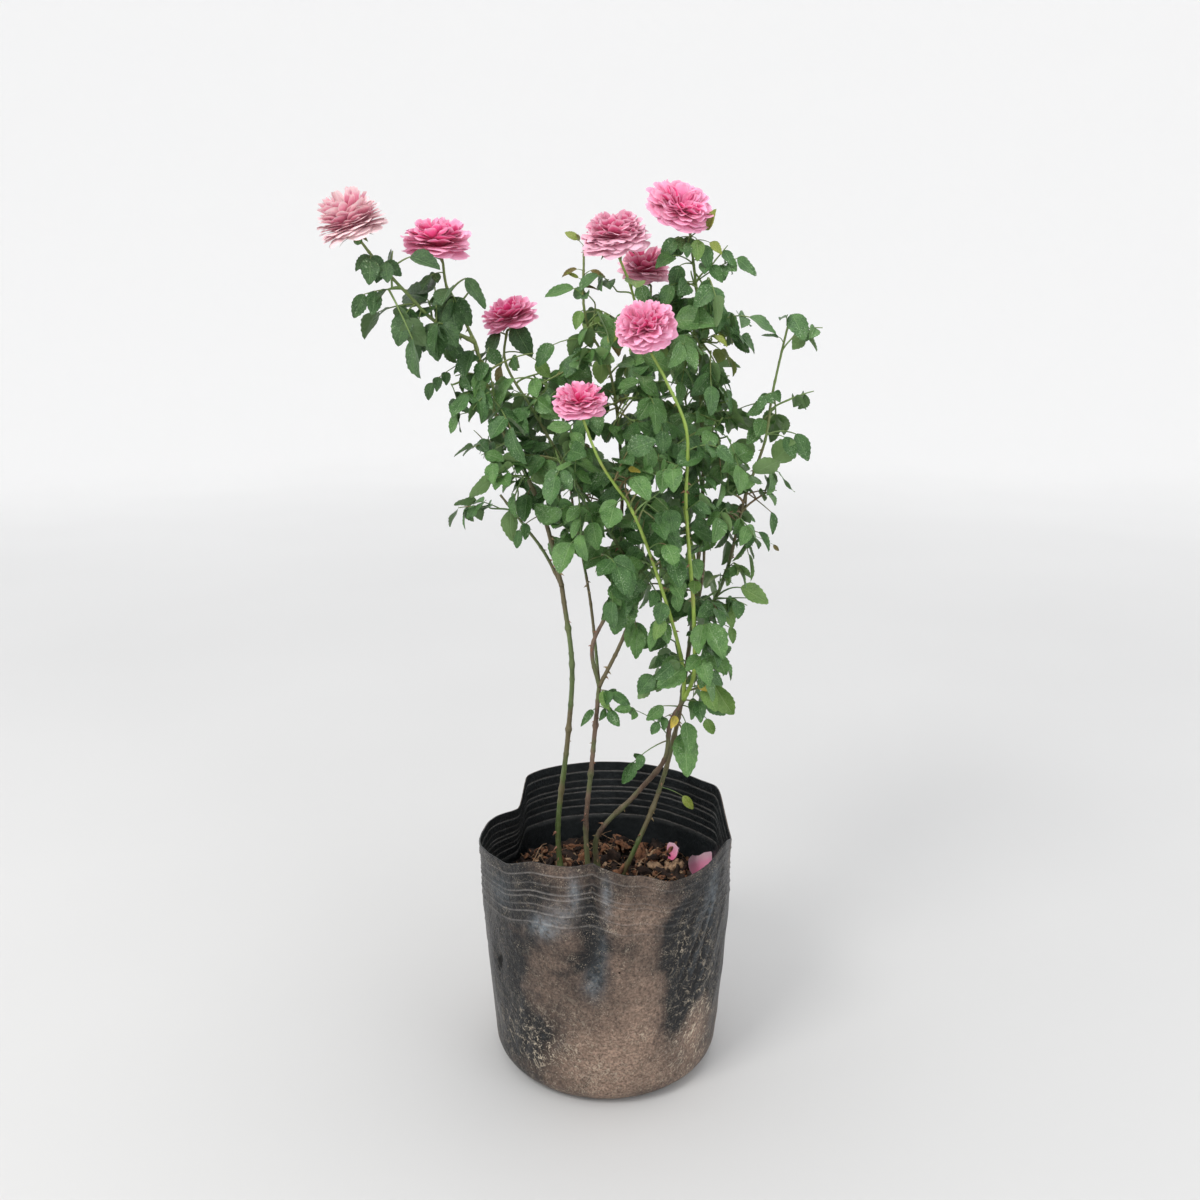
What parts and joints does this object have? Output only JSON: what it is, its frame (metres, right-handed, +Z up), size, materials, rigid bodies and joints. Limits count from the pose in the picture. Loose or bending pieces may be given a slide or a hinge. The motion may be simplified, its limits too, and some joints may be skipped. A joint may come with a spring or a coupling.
{
  "type": "potted rose bush",
  "caption": "Upright open rose bush with thin thorny canes, airy dark foliage and full double pink blooms, planted in a soft round plastic nursery bag.",
  "frame": {"origin": "middle of the bag's flat underside, at floor level", "axes": "+Z up, -Y towards the front with the creased side of the bag, +X to the right seen from the front"},
  "size_m": [0.569, 0.3607, 1.1214],
  "materials": {
    "bag": "scuffed soft black film with dried dust, pale ridge lines below the rim",
    "soil": "moist coarse bark and coir mix",
    "bark_brown": "old brown cane, dull, with prickles and leaf scars",
    "bark_green": "smooth green cane with reddish prickles",
    "leaves": "deep green leaflets with a pale dusty bloom, satin",
    "petals": "soft pink petals, hot pink in the depth and pale at the edges"
  },
  "bodies": {
    "root": {"bag": "bag", "soil": "soil", "cane_left": "bark_green", "bough_left": "bark_green", "bough_arch": "bark_green", "bough_arch_side": "bark_green", "bough_left_side": "bark_green", "cane_middle": "bark_brown", "bough_middle": "bark_brown", "bough_middle_left": "bark_green", "bough_middle_back": "bark_green", "cane_right": "bark_brown", "bough_front": "bark_green", "bough_front_left": "bark_green", "cane_back": "bark_green", "bough_top": "bark_green", "bough_right": "bark_green", "bough_back_right": "bark_green", "bough_inner": "bark_green", "bough_inner_back": "bark_green", "bloom_arch_tip": "petals", "bloom_arch": "petals", "bloom_behind_arch": "petals", "bloom_middle": "petals", "bloom_top": "petals", "bloom_shaded": "petals", "bloom_front": "petals", "bloom_front_left": "petals", "foliage_arch_tip": "leaves", "foliage_arch_middle": "leaves", "foliage_arch_root": "leaves", "foliage_left_upper": "leaves", "foliage_left_hanging": "leaves", "foliage_left_middle": "leaves", "foliage_left_lower": "leaves", "foliage_centre_left": "leaves", "foliage_centre": "leaves", "foliage_centre_low": "leaves", "foliage_upper_centre": "leaves", "foliage_under_top": "leaves", "foliage_upper_right": "leaves", "foliage_upper_core": "leaves", "foliage_right_upper": "leaves", "foliage_core": "leaves", "foliage_right_middle": "leaves", "foliage_core_low": "leaves", "foliage_right_low": "leaves", "foliage_right_tip": "leaves", "foliage_right_bough": "leaves", "foliage_right_bough_low": "leaves", "foliage_low_right": "leaves", "foliage_shoot_right": "leaves", "foliage_shoot_left": "leaves", "foliage_back_left": "leaves", "foliage_back_middle": "leaves", "foliage_back_right": "leaves", "foliage_back_top": "leaves", "foliage_back_low": "leaves"}
  },
  "joints": []
}
